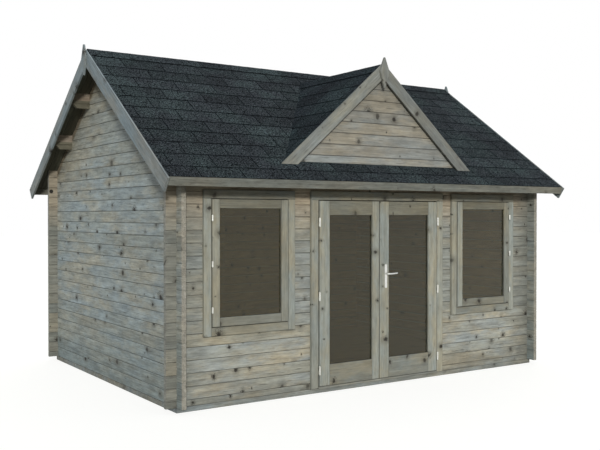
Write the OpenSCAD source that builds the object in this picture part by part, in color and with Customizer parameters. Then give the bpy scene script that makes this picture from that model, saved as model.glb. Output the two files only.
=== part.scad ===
// Garden house of interlocked logs with a shingled gable roof, a decorative front
// dormer, a glazed double door and two casement windows.
// Millimetres. +X runs along the front to the right, +Y to the rear, +Z up.
// The origin is on the ground, under the middle of the house.

/* [Walls] */
// Outside width across the two side walls
house_w = 4500; // [3900:10:5200]
// Outside depth from the front wall to the rear wall
house_d = 3280; // [2900:10:3800]
// Thickness of the wall logs
wall_t = 44; // [34:1:70]
// Height of one log, joint to joint
log_h = 114; // [105:1:120]
// Full logs in a side wall below its gable
side_logs = 18; // [17:1:19]
// Length of the log ends beyond the crossing wall
log_end = 100; // [60:5:150]
// Chamfer along the long edges of each log
log_chamfer = 6; // [3:1:9]

/* [Base] */
// Height of the foundation beams
beam_h = 45; // [35:1:70]
// Width of the foundation beams
beam_w = 70; // [60:1:95]
// Thickness of the floor boarding
floor_t = 18; // [14:1:24]
// Width of a floor joist
joist_w = 45; // [36:1:70]
// Number of floor joists
joist_count = 8; // [6:1:10]
// Thickness of the door threshold
threshold_t = 18; // [12:1:26]

/* [Roof] */
// Pitch of the main roof in degrees
roof_pitch = 35; // [32:0.5:37]
// Height of the roof underside at the outer face of the front wall
plate_z = 2208; // [2190:1:2260]
// Overhang from the front wall to the face of the fascia
eave_overhang = 282; // [220:2:340]
// Overhang of the roof beyond the side walls
gable_overhang = 204; // [150:2:260]
// Thickness of the roof boarding
board_t = 18; // [15:1:24]
// Thickness of the shingle layer
shingle_t = 6; // [4:1:9]
// How far the shingles hang over the fascia
shingle_drip = 3; // [1:1:10]
// Height of a fascia board at its face
fascia_h = 73; // [60:1:95]
// Thickness of the fascias, bargeboards and finials
trim_t = 20; // [16:1:26]
// Width of a gable bargeboard, square to the slope
barge_w = 135; // [110:1:150]
// How far a gable bargeboard's foot stands out past the fascia's face
barge_foot = 28; // [10:1:60]
// Width of each wing of the ridge capping
capping_wing = 126; // [110:2:170]
// Thickness of the ridge capping
capping_t = 4; // [3:0.5:6]
// Width of a purlin
purlin_w = 44; // [36:1:60]
// Depth of a purlin below the roof boarding
purlin_h = 142; // [120:1:160]
// Distance of the upper purlins from the ridge
upper_purlin_y = 515; // [470:5:570]
// Distance of the lower purlins from the ridge
lower_purlin_y = 1085; // [1030:5:1150]
// Size of the sloping cut under a purlin end
purlin_cut = 68; // [50:1:90]
// Height of the joint line on a purlin's sides
purlin_joint = 50; // [35:1:70]

/* [Finials] */
// Width of a diamond finial
finial_w = 124; // [90:2:150]
// Height of a finial above its widest place
finial_up = 140; // [110:2:170]
// Height of a finial below its widest place
finial_down = 170; // [140:2:200]
// Width of the blunt finial tips
finial_tip = 12; // [6:1:20]
// Height of a gable finial's tip over the shingle ridge
gable_finial_rise = 48; // [30:1:70]
// Height of the dormer finial's tip over the dormer ridge
dormer_finial_rise = 69; // [50:1:90]

/* [Dormer] */
// Pitch of the dormer in degrees
dormer_pitch = 41; // [38:0.5:42]
// Width of the dormer where its eaves meet the main roof
dormer_w = 2350; // [2200:10:2440]
// How far the dormer roof stands forward of the wall face
dormer_forward = 47; // [30:1:80]
// Setback of the dormer panel behind the edge of its roof
dormer_setback = 27; // [15:1:40]
// Thickness of the dormer panel
dormer_panel_t = 20; // [16:1:28]
// Width of a dormer bargeboard, square to the slope
dormer_barge_w = 120; // [100:1:140]
// How far a dormer bargeboard stands above the dormer shingles
dormer_barge_rise = 14; // [8:1:20]

/* [Windows] */
// Share of the spare wall round the left window that lies towards the door
left_window_share = 0.47; // [0.2:0.01:0.8]
// Share of the spare wall round the right window that lies towards the door
right_window_share = 0.33; // [0.2:0.01:0.8]
// Logs under a window, counted above the half log
sill_logs = 5; // [4:1:7]
// Logs up to the head of the door and the windows
head_logs = 16; // [15:1:16]
// Width of a window sash
sash_w = 798; // [740:2:850]
// Thickness of a window sash
sash_t = 40; // [34:1:46]
// Width of a sash's stiles
sash_stile = 75; // [65:1:90]
// Height of a sash's rails
sash_rail = 81; // [70:1:95]
// Width of a window frame's members
window_frame_t = 46; // [38:1:55]
// Gap round a window sash
window_gap = 6; // [5:0.5:9]
// Width of the window casing boards
window_casing_w = 77; // [60:1:90]

/* [Door] */
// Mean width of the two door leaves
leaf_w = 756.5; // [720:0.5:790]
// Thickness of a door leaf
leaf_t = 42; // [36:1:46]
// Width of a leaf's stile on the hinge side
stile_w = 121; // [105:1:135]
// Width of the left leaf's meeting stile
left_meeting_w = 88; // [75:1:105]
// Width of the right leaf's meeting stile, which carries the handle
right_meeting_w = 120; // [105:1:135]
// How far the leaves meet to the left of the door's middle
meeting_off = 22; // [0:1:30]
// Height of a leaf's top rail
top_rail_h = 138; // [100:1:150]
// Height of a leaf's bottom rail
bottom_rail_h = 204; // [150:1:240]
// Gap between the two leaves
meeting_gap = 7; // [6:0.5:10]
// Gap between a leaf and the frame beside and over it
door_gap = 8; // [6:0.5:10]
// Gap between a leaf and the threshold
door_foot_gap = 5; // [5:0.5:10]
// Gap between a closed leaf and the frame's stop
stop_gap = 6; // [5:0.5:8]
// Overlap of the frame's stop behind a leaf or a sash
stop_lap = 15; // [10:1:20]
// Width of the door jambs
jamb_t = 47; // [40:1:60]
// Height of the door frame's head
head_t = 48; // [40:1:65]
// Width of the door casing boards
door_casing_w = 84; // [70:1:95]

/* [Joinery] */
// Thickness of the casing boards
casing_t = 24; // [18:1:30]
// How far a leaf or a sash stands forward of the wall face
face_proud = 30; // [27:1:34]
// Settling gap over the door and window frames
settle_gap = 16; // [12:1:40]
// Thickness of the glass
glass_t = 4; // [3:1:6]
// Depth of the glazing groove
groove_d = 12; // [8:1:16]
// Height of a door casing's foot over the foundation
casing_foot = 5; // [2:1:15]

/* [Hinges] */
// Diameter of a hinge barrel
barrel_d = 16; // [13:0.5:17]
// Length of a door hinge's barrel
barrel_len = 76; // [60:1:90]
// Length of a window hinge's barrel
sash_barrel_len = 46; // [36:1:70]
// Diameter of a hinge pin
pin_d = 8; // [6:0.5:9]
// Running clearance round a hinge pin
pin_clear = 0.08; // [0.05:0.01:0.1]
// Distance of the hinge axis in front of a leaf's face
hinge_stand = 11; // [10:0.5:14]
// Thickness of a hinge plate
plate_t = 2.4; // [2:0.1:2.6]
// Depth of a hinge plate behind the hinge axis
plate_depth = 40; // [30:1:45]
// Height of the lowest hinge over a leaf's foot
hinge_low = 155; // [120:1:220]
// Distance of the highest hinge below a leaf's top
hinge_high = 207; // [120:1:220]
// Height of the lowest hinge over a sash's foot
sash_hinge_low = 151; // [100:1:220]
// Distance of the highest hinge below a sash's top
sash_hinge_high = 167; // [100:1:220]

/* [Handle] */
// Height of the handle's spindle over the leaf's foot
handle_height = 1055; // [1000:1:1100]
// Distance of the handle from the right leaf's meeting edge
handle_inset = 77; // [60:1:85]
// Width of a handle plate
handle_plate_w = 30; // [26:1:40]
// Height of a handle plate above the spindle
handle_plate_up = 96; // [70:1:110]
// Height of a handle plate below the spindle
handle_plate_down = 146; // [120:1:160]
// Thickness of a handle plate
handle_plate_t = 8; // [6:1:10]
// Length of the lever from the spindle
lever_len = 126; // [100:1:150]
// Diameter of the lever
lever_d = 17; // [14:0.5:20]
// Distance of the lever's middle from the leaf
lever_stand = 45; // [38:1:60]
// Diameter of the spindle
spindle_d = 10; // [8:0.5:12]

/* [Hidden] */
$fn = 48;
// Clearance between pieces that are seated on each other
fit = 0.3;
// Clearance between stacked logs
log_clear = 0.15;
// Running clearance round the handle's spindle
spindle_clear = 0.08;
// Gap between the two halves of a hinge barrel
knuckle_gap = 0.5;
// Length of cutting solids beyond what they cut
over = 10;

// Walls
half_w = house_w/2;
half_d = house_d/2;
side_x = half_w - wall_t/2;
front_y = half_d - wall_t/2;
joint0_z = beam_h + log_h/2;
side_top_z = beam_h + side_logs*log_h;
front_logs = floor((plate_z - joint0_z)/log_h - 1/3);
sill_z = joint0_z + sill_logs*log_h;
head_z = joint0_z + head_logs*log_h;
function front_low(i) = (i == 0) ? beam_h : joint0_z + (i - 1)*log_h;
function front_high(i) = joint0_z + i*log_h;
function side_low(i) = beam_h + i*log_h;
function side_high(i) = side_low(i) + log_h;
function spread(low, high) = [low, (low + high)/2, high];

// Main roof, as heights at the ridge of planes that fall away to both eaves
slope = tan(roof_pitch);
slope_cos = cos(roof_pitch);
under0 = plate_z + half_d*slope;
board_top0 = under0 + board_t/slope_cos;
shingle_low0 = board_top0 + fit;
shingle_top0 = shingle_low0 + shingle_t/slope_cos;
eave_y = half_d + eave_overhang;
verge_x = half_w + gable_overhang;
gable_logs = ceil((under0 - side_top_z)/log_h);

// Dormer, as heights at its ridge of planes that fall away to both sides
dormer_slope = tan(dormer_pitch);
dormer_cos = cos(dormer_pitch);
dormer_y = -(half_d + dormer_forward);
dormer_top0 = shingle_top0 + dormer_y*slope + dormer_w/2*dormer_slope;
dormer_shingle_low0 = dormer_top0 - shingle_t/dormer_cos;
dormer_board_top0 = dormer_shingle_low0 - fit;
dormer_under0 = dormer_board_top0 - board_t/dormer_cos;

// Door and windows
floor_z = beam_h + threshold_t;
frame_top_z = head_z - settle_gap;
face_y = -(half_d + face_proud);
leaf_half = leaf_w + meeting_gap/2;
left_meet_x = -meeting_off - meeting_gap/2;
right_meet_x = meeting_gap/2 - meeting_off;
jamb_in = leaf_half + door_gap;
jamb_out = jamb_in + jamb_t;
door_hole = jamb_out + fit;
leaf_foot_z = floor_z + door_foot_gap;
leaf_top_z = frame_top_z - head_t - door_gap;
leaf_back_y = face_y + leaf_t;
sash_low_z = sill_z + fit + window_frame_t + window_gap;
sash_high_z = frame_top_z - window_frame_t - window_gap;
sash_back_y = face_y + sash_t;
window_in = sash_w/2 + window_gap;
window_out = window_in + window_frame_t;
window_hole = window_out + fit;
door_casing_out = jamb_in + door_casing_w;
window_casing_out = window_in + window_casing_w;
spare_wall = half_w - wall_t - door_casing_out - 2*window_casing_out;
left_window = door_casing_out + left_window_share*spare_wall + window_casing_out;
right_window = door_casing_out + right_window_share*spare_wall + window_casing_out;
door_lap = door_gap + stop_lap;
window_lap = window_gap + stop_lap;
hinge_x = leaf_half + door_gap/2;
hinge_y = face_y - hinge_stand;
hinge_zs = spread(leaf_foot_z + hinge_low, leaf_top_z - hinge_high);
sash_hinge_zs = spread(sash_low_z + sash_hinge_low, sash_high_z - sash_hinge_high);
handle_x = right_meet_x + handle_inset;
handle_z = leaf_foot_z + handle_height;

// Colours
log_grey = "#9a968a";
trim_grey = "#8c8b80";
pine = "#a98f6c";
slate = "#2c3036";
zinc = "#c9cac8";
pane = [0.20, 0.21, 0.18, 0.6];

// A solid drawn in Y and Z, and drawn out along X
module along_x(x0, x1) {
  translate([x0, 0, 0]) rotate([90, 0, 90]) linear_extrude(x1 - x0) children();
}

// A solid drawn in X and Z, and drawn out along Y
module along_y(y0, y1) {
  translate([0, y1, 0]) rotate([90, 0, 0]) linear_extrude(y1 - y0) children();
}

// A block between two opposite corners
module block(low, high) {
  translate(low) cube(high - low);
}

module both_ends() {
  children();
  mirror([1, 0, 0]) children();
}

module both_eaves() {
  children();
  mirror([0, 1, 0]) children();
}

// The chamfered section of a log, middled on its thickness
module log_section(low, high) {
  t = wall_t/2;
  c = log_chamfer;
  polygon([
    [-t + c, low], [t - c, low], [t, low + c], [t, high - c],
    [t - c, high], [-t + c, high], [-t, high - c], [-t, low + c]
  ]);
}

// What is cut from a log where another wall's logs cross it, at distance 0 along X
module crossing_cut(low, high, whole_foot = false) {
  r = wall_t/2 + fit;
  t = wall_t/2 + over;
  notch = log_h/4 + log_clear/2;
  block([-r, -t, high - notch], [r, t, high + over]);
  if (!whole_foot) block([-r, -t, low - over], [r, t, low + notch]);
}

// One log along X of the front or rear wall, given by its place in the stack
module cross_log(i, x0, x1, wall_side) {
  low = front_low(i) + ((i == 0) ? fit : log_clear/2);
  high = front_high(i) - log_clear/2;
  translate([0, wall_side*front_y, 0])
    difference() {
      along_x(x0, x1) log_section(low, high);
      for (s = [-1, 1])
        if (x0 < s*side_x && x1 > s*side_x)
          translate([s*side_x, 0, 0]) crossing_cut(front_low(i), front_high(i), i == 0);
    }
}

// The bevelled log on top of the front or rear wall
module top_log(wall_side) {
  low = front_high(front_logs);
  along = half_w + log_end;
  difference() {
    intersection() {
      translate([0, wall_side*front_y, 0])
        along_x(-along, along) log_section(low + log_clear/2, low + 2*log_h);
      under_roof();
    }
    for (s = [-1, 1])
      translate([s*side_x, wall_side*front_y, 0])
        crossing_cut(low, low + 3*log_h);
  }
}

// One log along Y of a side wall, given by its place in the stack
module side_log(i) {
  low = side_low(i) + ((i == 0) ? fit : log_clear/2);
  along = half_d + log_end;
  difference() {
    along_y(-along, along) log_section(low, side_high(i) - log_clear/2);
    for (s = [-1, 1])
      translate([0, s*front_y, 0]) rotate([0, 0, 90]) crossing_cut(side_low(i), side_high(i));
  }
}

// The space under the roof boarding
module under_roof() {
  y = eave_y + over;
  top = under0 - fit;
  along_x(-verge_x - over, verge_x + over)
    polygon([[-y, 0], [y, 0], [y, top - y*slope], [0, top], [-y, top - y*slope]]);
}

// The space under the shingled surface of the main roof
module under_shingles() {
  y = eave_y + over;
  top = shingle_top0 + fit;
  along_x(-verge_x, verge_x)
    polygon([[-y, 0], [y, 0], [y, top - y*slope], [0, top], [-y, top - y*slope]]);
}

module foundation_beams() {
  color(trim_grey) {
    both_eaves() block([-half_w, -half_d, 0], [half_w, beam_w - half_d, beam_h]);
    both_ends()
      block([half_w - beam_w, beam_w - half_d + fit, 0], [half_w, half_d - beam_w - fit, beam_h]);
  }
}

module floor_joists() {
  inside = half_w - beam_w - joist_w;
  y = half_d - beam_w - fit;
  color(pine)
    for (i = [0 : joist_count - 1])
      translate([-inside + 2*inside*i/(joist_count - 1), 0, 0])
        block([-joist_w/2, -y, 0], [joist_w/2, y, floor_z - floor_t - fit]);
}

module floor_boards() {
  x = half_w - max(wall_t, beam_w) - fit;
  y = half_d - max(wall_t, beam_w) - fit;
  color(pine) block([-x, -y, floor_z - floor_t], [x, y, floor_z]);
}

module left_wall() {
  color(log_grey)
    for (i = [0 : side_logs - 1]) translate([-side_x, 0, 0]) side_log(i);
}

module right_wall() {
  color(log_grey)
    for (i = [0 : side_logs - 1]) translate([side_x, 0, 0]) side_log(i);
}

module rear_wall() {
  x = half_w + log_end;
  color(log_grey) {
    for (i = [0 : front_logs]) cross_log(i, -x, x, 1);
    top_log(1);
  }
}

// The front wall between a corner and the doorway, given by its window's distance from the middle
module front_side_wall(window) {
  corner = -(half_w + log_end);
  for (i = [0 : sill_logs]) cross_log(i, corner, -door_hole, -1);
  for (i = [sill_logs + 1 : head_logs]) {
    cross_log(i, corner, -(window + window_hole), -1);
    cross_log(i, -(window - window_hole), -door_hole, -1);
  }
}

module front_wall_left() {
  color(log_grey) front_side_wall(left_window);
}

module front_wall_right() {
  color(log_grey) mirror([1, 0, 0]) front_side_wall(right_window);
}

module front_wall_top() {
  x = half_w + log_end;
  color(log_grey) {
    for (i = [head_logs + 1 : front_logs]) cross_log(i, -x, x, -1);
    top_log(-1);
  }
}

// The logs of a gable, cut to the roof and round the purlins
module gable() {
  for (i = [side_logs : side_logs + gable_logs - 1])
    difference() {
      intersection() {
        translate([-side_x, 0, 0]) side_log(i);
        under_roof();
      }
      for (y = [-lower_purlin_y, -upper_purlin_y, 0, upper_purlin_y, lower_purlin_y])
        purlin_space(y);
    }
}

module left_gable() {
  color(log_grey) gable();
}

module right_gable() {
  color(log_grey) mirror([1, 0, 0]) gable();
}

// What a purlin needs in a gable, with room to lie in it
module purlin_space(y) {
  low = under0 - abs(y)*slope - purlin_h - fit;
  w = purlin_w/2 + fit;
  block([-verge_x, y - w, low], [verge_x, y + w, under0]);
}

// A purlin with its top bevelled to the roof, its ends cut away below and a joint line on its sides
module purlin(y) {
  low = under0 - abs(y)*slope - purlin_h;
  joint = low + purlin_joint;
  x = verge_x - fit;
  c = log_chamfer;
  difference() {
    intersection() {
      along_y(y - purlin_w/2, y + purlin_w/2)
        polygon([
          [-x, low + purlin_cut], [-x + purlin_cut, low], [x - purlin_cut, low],
          [x, low + purlin_cut], [x, under0], [-x, under0]
        ]);
      under_roof();
    }
    for (s = [-1, 1])
      along_x(-verge_x, verge_x)
        translate([y + s*purlin_w/2, joint]) polygon([[-c, 0], [0, -c], [c, 0], [0, c]]);
  }
}

module ridge_purlin() {
  color(pine) purlin(0);
}

module front_purlins() {
  color(pine) {
    purlin(-upper_purlin_y);
    purlin(-lower_purlin_y);
  }
}

module rear_purlins() {
  color(pine) {
    purlin(upper_purlin_y);
    purlin(lower_purlin_y);
  }
}

// A flat layer on the front slope, between two planes given at the ridge
module front_layer(low0, top0, foot_y) {
  y = -fit/2;
  along_x(-verge_x, verge_x)
    polygon([
      [y, low0 + y*slope], [y, top0 + y*slope],
      [-foot_y, top0 - foot_y*slope], [-foot_y, low0 - foot_y*slope]
    ]);
}

module front_roof_boards() {
  color(pine) front_layer(under0, board_top0, eave_y - trim_t - fit);
}

module rear_roof_boards() {
  color(pine) mirror([0, 1, 0]) front_layer(under0, board_top0, eave_y - trim_t - fit);
}

module front_shingles() {
  color(slate) front_layer(shingle_low0, shingle_top0, eave_y + shingle_drip);
}

module rear_shingles() {
  color(slate) mirror([0, 1, 0]) front_layer(shingle_low0, shingle_top0, eave_y + shingle_drip);
}

module ridge_capping() {
  y = capping_wing*slope_cos;
  low = shingle_top0 + fit;
  top = low + capping_t/slope_cos;
  color(slate)
    along_x(-verge_x, verge_x)
      polygon([
        [-y, low - y*slope], [0, low], [y, low - y*slope],
        [y, top - y*slope], [0, top], [-y, top - y*slope]
      ]);
}

module eave_fascias() {
  back = eave_y - trim_t;
  foot = board_top0 - eave_y*slope - fascia_h;
  color(trim_grey)
    both_eaves()
      along_x(-verge_x, verge_x)
        polygon([
          [-eave_y, foot], [-back, foot],
          [-back, board_top0 - back*slope], [-eave_y, board_top0 - eave_y*slope]
        ]);
}

// A pair of bargeboards over the side walls, mitred at the ridge and cut square at the foot
module gable_bargeboards() {
  y = fit/2;
  drop = barge_w/slope_cos;
  foot_y = eave_y + barge_foot;
  foot_z = shingle_top0 - foot_y*slope;
  color(trim_grey)
    both_ends()
      both_eaves()
        along_x(verge_x + fit, verge_x + fit + trim_t)
          polygon([
            [y, shingle_top0 - y*slope], [foot_y, foot_z],
            [foot_y - barge_w*sin(roof_pitch), foot_z - barge_w*slope_cos],
            [y, shingle_top0 - drop - y*slope]
          ]);
}

// The outline of a diamond finial, its tip at height 0
module finial_outline() {
  w = finial_w/2;
  t = finial_tip/2;
  foot = -(finial_up + finial_down);
  polygon([[-t, 0], [t, 0], [w, -finial_up], [t, foot], [-t, foot], [-w, -finial_up]]);
}

module gable_finials() {
  x = verge_x + trim_t + 2*fit;
  color(trim_grey)
    both_ends()
      translate([0, 0, shingle_top0 + gable_finial_rise])
        along_x(x, x + trim_t) finial_outline();
}

module dormer_panel() {
  y = dormer_y + dormer_setback;
  top = dormer_under0 - fit;
  x = dormer_w/2;
  color(log_grey)
    difference() {
      along_y(y, y + dormer_panel_t)
        polygon([[-x, top - x*dormer_slope], [x, top - x*dormer_slope], [0, top]]);
      under_shingles();
    }
}

// A flat layer on the right slope of the dormer, cut to the main roof
module dormer_layer(low0, top0) {
  x0 = fit/2;
  x1 = dormer_w/2 + over;
  difference() {
    along_y(dormer_y, 0)
      polygon([
        [x0, low0 - x0*dormer_slope], [x0, top0 - x0*dormer_slope],
        [x1, top0 - x1*dormer_slope], [x1, low0 - x1*dormer_slope]
      ]);
    under_shingles();
  }
}

module dormer_roof_boards() {
  color(pine) both_ends() dormer_layer(dormer_under0, dormer_board_top0);
}

module dormer_shingles() {
  color(slate) both_ends() dormer_layer(dormer_shingle_low0, dormer_top0);
}

module dormer_ridge_capping() {
  x = capping_wing*dormer_cos;
  low = dormer_top0 + fit;
  top = low + capping_t/dormer_cos;
  color(slate)
    difference() {
      along_y(dormer_y, 0)
        polygon([
          [-x, low - x*dormer_slope], [0, low], [x, low - x*dormer_slope],
          [x, top - x*dormer_slope], [0, top], [-x, top - x*dormer_slope]
        ]);
      under_shingles();
    }
}

module dormer_bargeboards() {
  x0 = fit/2;
  x1 = dormer_w/2 + 6*over;
  top0 = dormer_top0 + dormer_barge_rise/dormer_cos;
  low0 = top0 - dormer_barge_w/dormer_cos;
  color(trim_grey)
    both_ends()
      difference() {
        along_y(dormer_y - fit - trim_t, dormer_y - fit)
          polygon([
            [x0, low0 - x0*dormer_slope], [x0, top0 - x0*dormer_slope],
            [x1, top0 - x1*dormer_slope], [x1, low0 - x1*dormer_slope]
          ]);
        under_shingles();
      }
}

module dormer_finial() {
  y = dormer_y - trim_t - 2*fit;
  color(trim_grey)
    translate([0, 0, dormer_top0 + dormer_finial_rise])
      along_y(y - trim_t, y) finial_outline();
}

// An upright with a stop behind a leaf or a sash, its face at x and its opening towards -X
module stopped_upright(x, t, low, high, stop_y, lap) {
  back = wall_t - half_d;
  linear_extrude(high - low)
    polygon([
      [x, -half_d], [x + t, -half_d], [x + t, back], [x - lap, back], [x - lap, stop_y], [x, stop_y]
    ]);
}

// A rail with a stop behind a leaf or a sash, its face at z and its opening downwards
module stopped_rail(x, z, t, stop_y, lap) {
  back = wall_t - half_d;
  along_x(-x, x)
    polygon([
      [-half_d, z], [-half_d, z + t], [back, z + t], [back, z - lap], [stop_y, z - lap], [stop_y, z]
    ]);
}

// Both windows, the right one turned over so that its hinges lie towards the corner too
module both_windows() {
  translate([-left_window, 0, 0]) children();
  translate([right_window, 0, 0]) mirror([1, 0, 0]) children();
}

// A window's frame, its middle at x 0
module window_frame() {
  low = sill_z + fit;
  stop = sash_back_y + fit;
  sill_face = low + window_frame_t;
  head_face = frame_top_z - window_frame_t;
  both_ends()
    translate([0, 0, low])
      stopped_upright(window_in, window_frame_t, low, frame_top_z, stop, window_lap);
  stopped_rail(window_in - window_lap - fit, head_face, window_frame_t, stop, window_lap);
  translate([0, 0, 2*sill_face - window_frame_t])
    mirror([0, 0, 1])
      stopped_rail(window_in - window_lap - fit, low, window_frame_t, stop, window_lap);
}

module window_frames() {
  color(trim_grey) both_windows() window_frame();
}

// A window's casing boards: uprights with a board between them at the foot, and a head board over them
module window_casing() {
  y0 = -half_d - casing_t;
  y1 = -half_d - fit;
  x0 = window_in;
  x1 = window_casing_out;
  low_in = sash_low_z - window_gap;
  high_in = sash_high_z + window_gap;
  low = low_in - window_casing_w;
  high = high_in + window_casing_w;
  both_ends() block([x0, y0, low], [x1, y1, high_in - fit]);
  block([fit - x0, y0, low], [x0 - fit, y1, low_in]);
  block([-x1, y0, high_in], [x1, y1, high]);
}

module window_casings() {
  color(trim_grey) both_windows() window_casing();
}

// A glazed panel of two stiles and two rails, grooved for its pane, its face at Y 0
module glazed_panel(x0, x1, low, high, t, stiles, foot_rail, head_rail) {
  in0 = x0 + stiles[0];
  in1 = x1 - stiles[1];
  difference() {
    union() {
      block([x0, 0, low], [in0, t, high]);
      block([in1, 0, low], [x1, t, high]);
      block([in0 + fit, 0, low], [in1 - fit, t, low + foot_rail]);
      block([in0 + fit, 0, high - head_rail], [in1 - fit, t, high]);
    }
    g = groove_d + fit;
    w = glass_t/2 + fit;
    block([in0 - g, t/2 - w, low + foot_rail - g], [in1 + g, t/2 + w, high - head_rail + g]);
  }
}

// The pane of a glazed panel
module panel_pane(x0, x1, low, high, t, stiles, foot_rail, head_rail) {
  g = groove_d;
  w = glass_t/2;
  in0 = x0 + stiles[0];
  in1 = x1 - stiles[1];
  block([in0 - g, t/2 - w, low + foot_rail - g], [in1 + g, t/2 + w, high - head_rail + g]);
}

module window_sashes() {
  color(trim_grey)
    both_windows()
      translate([0, face_y, 0])
        glazed_panel(
          -sash_w/2, sash_w/2, sash_low_z, sash_high_z, sash_t, [sash_stile, sash_stile], sash_rail, sash_rail
        );
}

module window_glass() {
  color(pane)
    both_windows()
      translate([0, face_y, 0])
        panel_pane(
          -sash_w/2, sash_w/2, sash_low_z, sash_high_z, sash_t, [sash_stile, sash_stile], sash_rail, sash_rail
        );
}

// A closed window hinge: a barrel with its plates folded in the gap beside the sash
module window_hinge(z) {
  r = sash_barrel_len/2;
  translate([-(sash_w/2 + window_gap/2), hinge_y, z]) {
    translate([0, 0, -r]) cylinder(d = barrel_d, h = sash_barrel_len);
    block([fit - window_gap/2, 0, -r], [window_gap/2 - fit, plate_depth, r]);
  }
}

module window_hinges() {
  color(zinc) both_windows() for (z = sash_hinge_zs) window_hinge(z);
}

// The threshold: a board in the wall with a nose that runs out under the leaves
module door_threshold() {
  back = max(wall_t, beam_w) - half_d;
  nose_x = jamb_in - fit;
  color(trim_grey)
    translate([0, 0, beam_h + fit])
      linear_extrude(threshold_t - fit)
        polygon([
          [-jamb_out, back], [-jamb_out, -half_d], [-nose_x, -half_d], [-nose_x, face_y],
          [nose_x, face_y], [nose_x, -half_d], [jamb_out, -half_d], [jamb_out, back]
        ]);
}

module door_frame() {
  low = floor_z + fit;
  stop = leaf_back_y + stop_gap;
  color(trim_grey) {
    both_ends()
      translate([0, 0, low]) stopped_upright(jamb_in, jamb_t, low, frame_top_z, stop, door_lap);
    stopped_rail(jamb_in - door_lap - fit, leaf_top_z + door_gap, head_t, stop, door_lap);
  }
}

module door_casing() {
  y0 = -half_d - casing_t;
  y1 = -half_d - fit;
  x1 = door_casing_out;
  head_low = leaf_top_z + door_gap;
  high = head_low + door_casing_w;
  color(trim_grey) {
    both_ends() block([jamb_in, y0, beam_h + casing_foot], [x1, y1, head_low - fit]);
    block([-x1, y0, head_low], [x1, y1, high]);
  }
}

// The lower half of a door hinge with its pin, seated on the frame left of the left leaf
module fixed_knuckle(z) {
  r = barrel_len/2;
  translate([-hinge_x, hinge_y, z]) {
    translate([0, 0, -r]) cylinder(d = barrel_d, h = r);
    cylinder(d = pin_d, h = r - plate_t - fit);
    block([fit - door_gap/2, 0, -r], [plate_t + fit - door_gap/2, plate_depth, 0]);
  }
}

// The upper half of a door hinge, bored for the pin and seated on the edge of the left leaf
module leaf_knuckle(z) {
  r = barrel_len/2;
  translate([-hinge_x, hinge_y, z])
    difference() {
      union() {
        translate([0, 0, knuckle_gap]) cylinder(d = barrel_d, h = r - knuckle_gap);
        block(
          [door_gap/2 - fit - plate_t, 0, knuckle_gap],
          [door_gap/2 - fit, plate_depth, r]
        );
      }
      cylinder(d = pin_d + 2*pin_clear, h = r - plate_t);
    }
}

module door_hinge_pins() {
  color(zinc) both_ends() for (z = hinge_zs) fixed_knuckle(z);
}

module left_door_hinges() {
  color(zinc) for (z = hinge_zs) leaf_knuckle(z);
}

module right_door_hinges() {
  color(zinc) mirror([1, 0, 0]) for (z = hinge_zs) leaf_knuckle(z);
}

module left_door_leaf() {
  color(trim_grey)
    translate([0, face_y, 0])
      glazed_panel(
        -leaf_half, left_meet_x, leaf_foot_z, leaf_top_z, leaf_t, [stile_w, left_meeting_w], bottom_rail_h,
        top_rail_h
      );
}

module left_door_glass() {
  color(pane)
    translate([0, face_y, 0])
      panel_pane(
        -leaf_half, left_meet_x, leaf_foot_z, leaf_top_z, leaf_t, [stile_w, left_meeting_w], bottom_rail_h,
        top_rail_h
      );
}

// A round hole along Y for the handle's spindle
module spindle_hole(y0, y1) {
  translate([handle_x, y1, handle_z])
    rotate([90, 0, 0])
      cylinder(d = spindle_d + 2*spindle_clear, h = y1 - y0);
}

module right_door_leaf() {
  color(trim_grey)
    difference() {
      translate([0, face_y, 0])
        glazed_panel(
          right_meet_x, leaf_half, leaf_foot_z, leaf_top_z, leaf_t, [right_meeting_w, stile_w], bottom_rail_h,
          top_rail_h
        );
      spindle_hole(face_y - over, leaf_back_y + over);
    }
}

module right_door_glass() {
  color(pane)
    translate([0, face_y, 0])
      panel_pane(
        right_meet_x, leaf_half, leaf_foot_z, leaf_top_z, leaf_t, [right_meeting_w, stile_w], bottom_rail_h,
        top_rail_h
      );
}

// One long handle plate with round ends, between two distances along Y
module handle_plate(y0, y1) {
  r = handle_plate_w/2;
  difference() {
    translate([handle_x, 0, handle_z])
      along_y(y0, y1) {
        translate([0, handle_plate_up - r]) circle(r);
        translate([0, r - handle_plate_down]) circle(r);
        translate([-r, r - handle_plate_down])
          square([handle_plate_w, handle_plate_up + handle_plate_down - handle_plate_w]);
      }
    spindle_hole(y0 - over, y1 + over);
  }
}

module door_handle_plates() {
  color(zinc) {
    handle_plate(face_y - fit - handle_plate_t, face_y - fit);
    handle_plate(leaf_back_y + fit, leaf_back_y + fit + handle_plate_t);
  }
}

// A round lever along X with bevelled ends, its spindle's place at 0
module lever_arm() {
  r = lever_d/2;
  c = lever_d/4;
  translate([-r, 0, 0])
    rotate([0, 90, 0])
      rotate_extrude()
        polygon([
          [0, 0], [r - c, 0], [r, c], [r, lever_len + r - c], [r - c, lever_len + r], [0, lever_len + r]
        ]);
}

// The spindle with a lever at each end, pointing away from the meeting stile's edge
module door_lever() {
  y0 = face_y - lever_stand;
  y1 = leaf_back_y + lever_stand;
  color(zinc)
    translate([handle_x, 0, handle_z]) {
      translate([0, y1, 0]) rotate([90, 0, 0]) cylinder(d = spindle_d, h = y1 - y0);
      for (y = [y0, y1]) translate([0, y, 0]) lever_arm();
    }
}

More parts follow.
